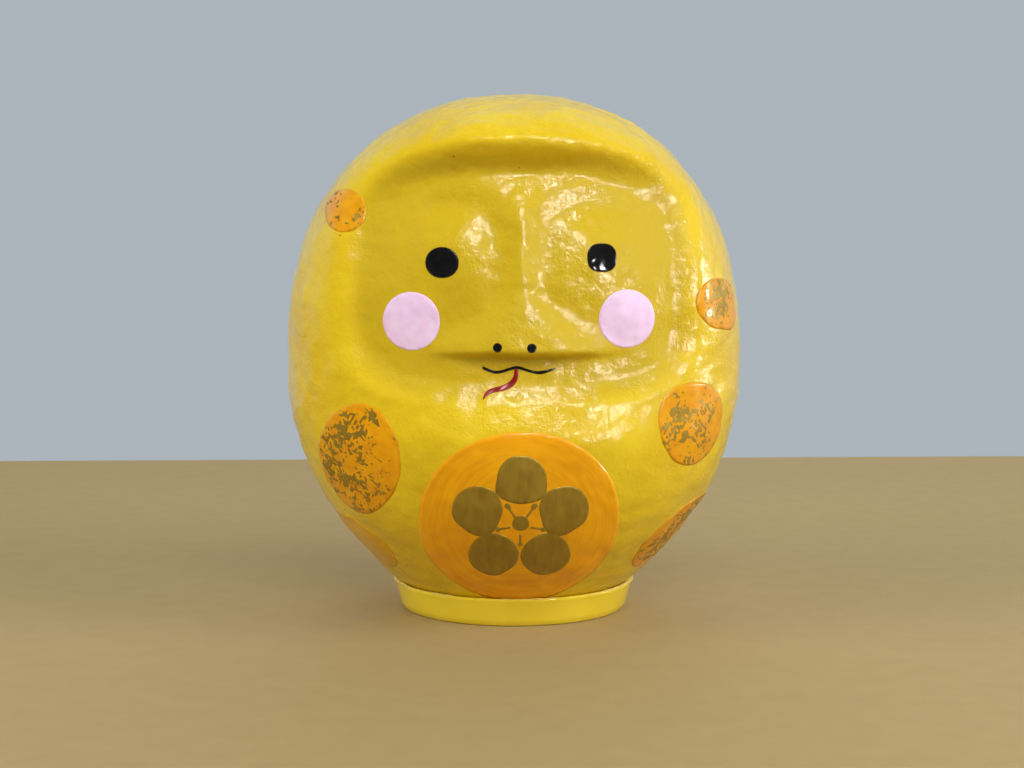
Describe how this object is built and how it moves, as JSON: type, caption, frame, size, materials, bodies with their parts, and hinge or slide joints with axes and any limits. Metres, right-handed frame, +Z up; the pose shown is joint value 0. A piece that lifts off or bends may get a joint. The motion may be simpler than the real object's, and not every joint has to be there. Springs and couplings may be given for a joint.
{
  "type": "daruma doll",
  "caption": "Hollow papier-mache daruma in gloss yellow, painted as a snake with a belly disc and sponged spots, glued into a weighted foot.",
  "frame": {"origin": "centre of the foot's flat underside", "axes": "+Z up, the doll's face looks along -Y, +X to the right of someone facing it"},
  "size_m": [0.1764, 0.1661, 0.2],
  "materials": {
    "yellow_lacquer": "glossy lacquer over moulded pulp, lumpy, with a fine cloth imprint",
    "yellow_foot": "glossy lacquer, smooth",
    "dried_clay": "matt, unglazed",
    "dried_glue": "off-white, satin",
    "black_gloss": "gloss enamel",
    "pink_paint": "satin paint",
    "red_paint": "gloss paint",
    "disc_orange": "gloss paint with round brush streaks",
    "spot_orange": "gloss paint, translucent",
    "thin_orange": "thin wash of orange over yellow",
    "gold_paint": "metallic gold paint, satin",
    "sponged_gold": "metallic gold paint, sponged on"
  },
  "bodies": {
    "root": {"base_dish": "yellow_foot", "belly_disc": "disc_orange", "blossom_centre": "gold_paint", "blossom_petals": "gold_paint", "clay_weight": "dried_clay", "glue_bead": "dried_glue", "gold_back_crown": "sponged_gold", "gold_back_left": "sponged_gold", "gold_back_low": "sponged_gold", "gold_back_middle": "sponged_gold", "gold_back_right": "sponged_gold", "gold_left_shoulder": "sponged_gold", "gold_left_temple": "sponged_gold", "gold_right_hip": "sponged_gold", "gold_right_rim": "sponged_gold", "gold_right_shoulder": "sponged_gold", "left_cheek": "pink_paint", "left_eye": "black_gloss", "left_nostril": "black_gloss", "mouth_line": "black_gloss", "paper_shell": "yellow_lacquer", "right_cheek": "pink_paint", "right_eye": "black_gloss", "right_nostril": "black_gloss", "spot_back_crown": "spot_orange", "spot_back_left": "spot_orange", "spot_back_low": "spot_orange", "spot_back_middle": "spot_orange", "spot_back_right": "spot_orange", "spot_left_hip": "thin_orange", "spot_left_shoulder": "spot_orange", "spot_left_temple": "spot_orange", "spot_right_hip": "spot_orange", "spot_right_rim": "spot_orange", "spot_right_shoulder": "spot_orange", "tongue": "red_paint"}
  },
  "joints": []
}
